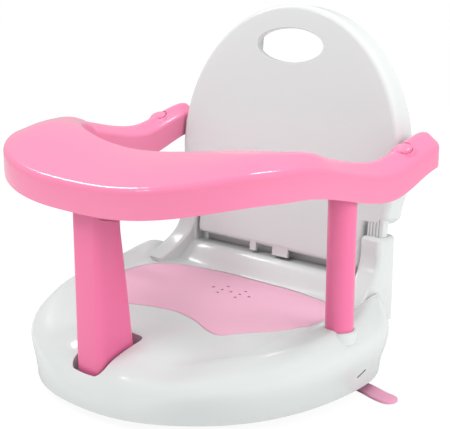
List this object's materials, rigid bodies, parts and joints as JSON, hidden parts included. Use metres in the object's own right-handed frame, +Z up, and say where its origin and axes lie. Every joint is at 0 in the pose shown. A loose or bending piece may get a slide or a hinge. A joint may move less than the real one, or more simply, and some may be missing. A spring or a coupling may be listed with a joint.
{
  "type": "baby bath seat",
  "caption": "Baby bath seat with a hollow moulded base on suction cups, an arched backrest with a handle hole, and a guard ring with a tray front on side posts and a crotch post.",
  "frame": {"origin": "on the floor under the middle of the seat's overall box, at the height of the suction cups' rims", "axes": "+Z up, the seat faces -Y, +X to the child's left, and x = 0 is the plane of symmetry"},
  "size_m": [0.376, 0.3085, 0.3345],
  "materials": {
    "white_shell": "gloss",
    "pink_shell": "gloss",
    "pink_post": "gloss",
    "pink_button": "gloss",
    "soft_pad": "satin",
    "soft_cup": "satin",
    "steel": "plain"
  },
  "bodies": {
    "seat": {"base_shell": "white_shell", "seat_pad": "soft_pad", "backrest": "white_shell", "guard_ring_upper": "pink_shell", "guard_ring_lower": "pink_shell", "crotch_post": "pink_post", "side_post_left": "pink_post", "side_post_right": "pink_post", "button_spring_left": "steel", "button_spring_right": "steel", "suction_cup_front_left": "soft_cup", "suction_cup_front_right": "soft_cup", "suction_cup_rear_left": "soft_cup", "suction_cup_rear_right": "soft_cup", "ring_screws": "steel", "post_screws": "steel"},
    "button_left": {"release_button_left": "pink_button"},
    "button_right": {"release_button_right": "pink_button"}
  },
  "joints": [
    {"name": "left_button_press", "type": "slide", "parent": "seat", "child": "button_left", "axis": [0, 0.342, -0.9397], "range_m": [0, 0.0025], "stiffness_N_per_m": 800, "springref_m": -0.0015, "deforming": ["button_spring_left"]},
    {"name": "right_button_press", "type": "slide", "parent": "seat", "child": "button_right", "axis": [0, 0.342, -0.9397], "range_m": [0, 0.0025], "stiffness_N_per_m": 800, "springref_m": -0.0015, "deforming": ["button_spring_right"]}
  ]
}
